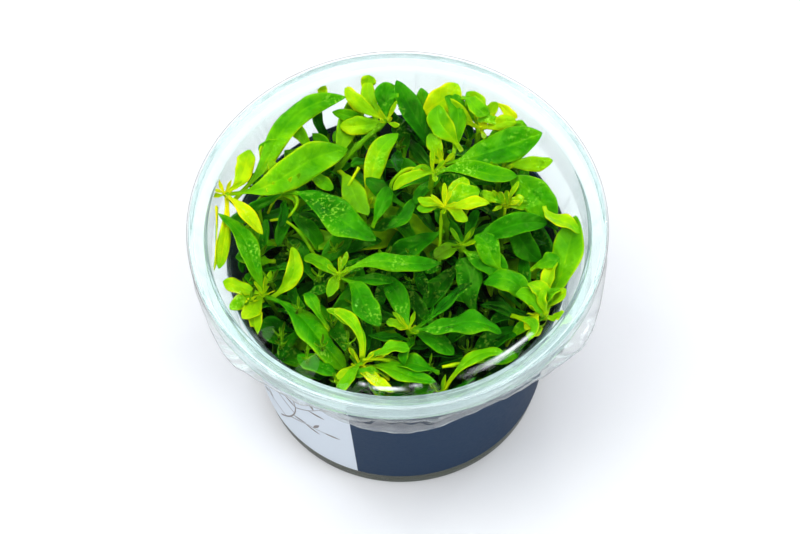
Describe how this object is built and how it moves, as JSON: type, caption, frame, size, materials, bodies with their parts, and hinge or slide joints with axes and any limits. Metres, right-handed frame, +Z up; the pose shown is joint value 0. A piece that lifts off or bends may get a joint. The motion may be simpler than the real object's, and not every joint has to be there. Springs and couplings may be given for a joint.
{
  "type": "tissue culture tiger hygrophila in a sealed cup",
  "caption": "Clump of young aquarium plant shoots growing from nutrient gel in a clear tapered culture cup with a wrap label and a clear film over its broad rim.",
  "frame": {"origin": "middle of the underside of the cup's base", "axes": "+Z up along the cup's axis, -Y towards the front where the label's pale panel ends, +X to the right seen from the front"},
  "size_m": [0.1006, 0.1006, 0.0693],
  "materials": {
    "clear_plastic": "gloss",
    "clear_film": "polished",
    "printed_paper": "satin",
    "nutrient_gel": "gloss",
    "young_shoot": "satin",
    "leaf": "gloss"
  },
  "bodies": {
    "root": {"cup": "clear_plastic", "sealing_film": "clear_film", "label": "printed_paper", "agar_gel": "nutrient_gel", "shoot_01": "young_shoot", "shoot_02": "young_shoot", "shoot_03": "young_shoot", "shoot_04": "young_shoot", "shoot_05": "young_shoot", "shoot_06": "young_shoot", "shoot_07": "young_shoot", "shoot_08": "young_shoot", "shoot_09": "young_shoot", "shoot_10": "young_shoot", "shoot_11": "young_shoot", "shoot_12": "young_shoot", "shoot_13": "young_shoot", "shoot_14": "young_shoot", "shoot_15": "young_shoot", "shoot_16": "young_shoot", "shoot_17": "young_shoot", "leaf_01": "leaf", "leaf_02": "leaf", "leaf_03": "leaf", "leaf_04": "leaf", "leaf_05": "leaf", "leaf_06": "leaf", "leaf_07": "leaf", "leaf_08": "leaf", "leaf_09": "leaf", "leaf_10": "leaf", "leaf_11": "leaf", "leaf_12": "leaf", "leaf_13": "leaf", "leaf_14": "leaf", "leaf_15": "leaf", "leaf_16": "leaf", "leaf_17": "leaf", "leaf_18": "leaf", "leaf_19": "leaf", "leaf_20": "leaf", "leaf_21": "leaf", "leaf_22": "leaf", "leaf_23": "leaf", "leaf_24": "leaf", "leaf_25": "leaf", "leaf_26": "leaf", "leaf_27": "leaf", "leaf_28": "leaf", "leaf_29": "leaf", "leaf_30": "leaf", "leaf_31": "leaf", "leaf_32": "leaf", "leaf_33": "leaf", "leaf_34": "leaf", "leaf_35": "leaf", "leaf_36": "leaf", "leaf_37": "leaf", "leaf_38": "leaf", "leaf_39": "leaf"}
  },
  "joints": []
}
